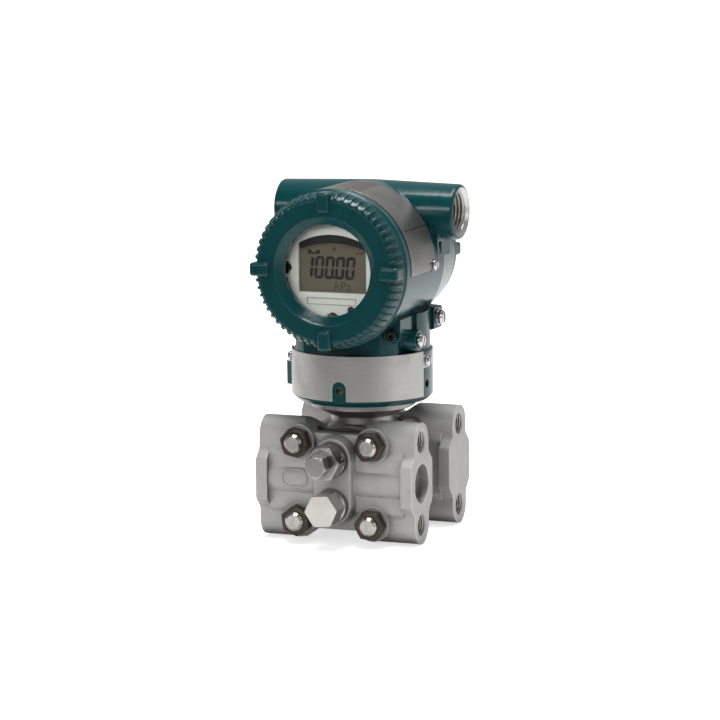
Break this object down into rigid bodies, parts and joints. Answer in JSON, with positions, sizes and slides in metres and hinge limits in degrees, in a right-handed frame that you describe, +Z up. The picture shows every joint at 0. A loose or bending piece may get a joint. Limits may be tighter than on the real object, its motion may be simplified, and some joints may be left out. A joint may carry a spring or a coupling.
{
  "type": "differential pressure transmitter",
  "caption": "Differential pressure transmitter: cast stainless cover flanges clamp a sensor capsule, whose neck carries a turning painted housing with a display and cable entries",
  "frame": {"origin": "on the neck axis, about which the housing turns, level with the bottom of the cover flanges", "axes": "+X to the right seen from the display side, towards the front process port; +Y towards the terminal side; +Z up along the neck"},
  "size_m": [0.0946, 0.129, 0.1743],
  "materials": {
    "cast_stainless": "cast and bead blasted",
    "capsule_steel": "turned and blasted",
    "bright_steel": "machined",
    "dark_nut": "dark oxide",
    "set_screw_steel": "plated",
    "plate_steel": "satin",
    "green_paint": "gloss paint",
    "gasket_white": "moulded",
    "seal_black": "moulded",
    "black_ring": "black anodised",
    "clear_glass": "toughened",
    "bezel_cream": "moulded",
    "display_cell": "polarised cell",
    "board_green": "solder resist",
    "button_black": "moulded",
    "case_grey": "moulded",
    "terminal_nickel": "nickel plated"
  },
  "bodies": {
    "sensor": {"front_cover_flange": "cast_stainless", "rear_cover_flange": "cast_stainless", "capsule_body": "capsule_steel", "front_capsule_gasket": "gasket_white", "rear_capsule_gasket": "gasket_white", "front_diaphragm": "bright_steel", "rear_diaphragm": "bright_steel", "neck_oring": "seal_black", "sensor_header": "bright_steel", "sensor_board": "board_green", "flange_bolts": "bright_steel", "flange_nuts": "dark_nut", "front_vent_plug": "bright_steel", "front_drain_plug": "bright_steel", "rear_vent_plug": "bright_steel", "rear_drain_plug": "bright_steel"},
    "front_vent": {"front_vent_screw": "bright_steel"},
    "rear_vent": {"rear_vent_screw": "bright_steel"},
    "head": {"housing": "green_paint", "name_band": "plate_steel", "name_band_screws": "bright_steel", "name_plate": "plate_steel", "name_plate_screws": "bright_steel", "neck_set_screws": "set_screw_steel", "cover_lock_bolts": "bright_steel", "ground_washers": "bright_steel", "ground_screw": "bright_steel", "amplifier_case": "case_grey", "amplifier_board": "board_green", "display_bezel": "bezel_cream", "display_glass": "display_cell", "display_board": "board_green", "display_screws": "bright_steel", "terminal_block": "case_grey", "terminal_screws": "terminal_nickel"},
    "zero_adjuster": {"zero_screw": "bright_steel"},
    "button": {"range_button": "button_black"},
    "front_cover": {"display_cover": "green_paint", "window_glass": "clear_glass", "glass_retainer": "black_ring"},
    "front_seal": {"display_cover_seal": "seal_black"},
    "rear_cover": {"terminal_cover": "green_paint"},
    "rear_seal": {"terminal_cover_seal": "seal_black"}
  },
  "joints": [
    {"name": "head_turn", "type": "hinge", "parent": "sensor", "child": "head", "pos_m": [0, 0, 0.078], "axis": [0, 0, 1], "range_deg": [-180, 180]},
    {"name": "front_seal_travel", "type": "slide", "parent": "head", "child": "front_seal", "axis": [0, -1, 0], "range_m": [0, 0.012]},
    {"name": "front_cover_turn", "type": "hinge", "parent": "front_seal", "child": "front_cover", "pos_m": [0, -0.0355, 0.1353], "axis": [0, -1, 0], "range_deg": [0, 2880]},
    {"name": "rear_seal_travel", "type": "slide", "parent": "head", "child": "rear_seal", "axis": [0, 1, 0], "range_m": [0, 0.012]},
    {"name": "rear_cover_turn", "type": "hinge", "parent": "rear_seal", "child": "rear_cover", "pos_m": [0, 0.0423, 0.1353], "axis": [0, 1, 0], "range_deg": [0, 2880]},
    {"name": "zero_turn", "type": "hinge", "parent": "head", "child": "zero_adjuster", "pos_m": [0.03, -0.0135, 0.0983], "axis": [1, 0, 0], "continuous": true},
    {"name": "button_push", "type": "slide", "parent": "head", "child": "button", "axis": [0, 1, 0], "range_m": [0, 0.0005], "stiffness_N_per_m": 200},
    {"name": "front_vent_turn", "type": "hinge", "parent": "sensor", "child": "front_vent", "pos_m": [0, -0.056, 0.0423], "axis": [0, -1, 0], "range_deg": [0, 360]},
    {"name": "rear_vent_turn", "type": "hinge", "parent": "sensor", "child": "rear_vent", "pos_m": [0, 0.056, 0.0423], "axis": [0, 1, 0], "range_deg": [0, 360]}
  ],
  "couplings": [
    {"joint": "front_seal_travel", "follows": "front_cover_turn", "m_per_rad": 0.00023873},
    {"joint": "rear_seal_travel", "follows": "rear_cover_turn", "m_per_rad": 0.00023873}
  ]
}
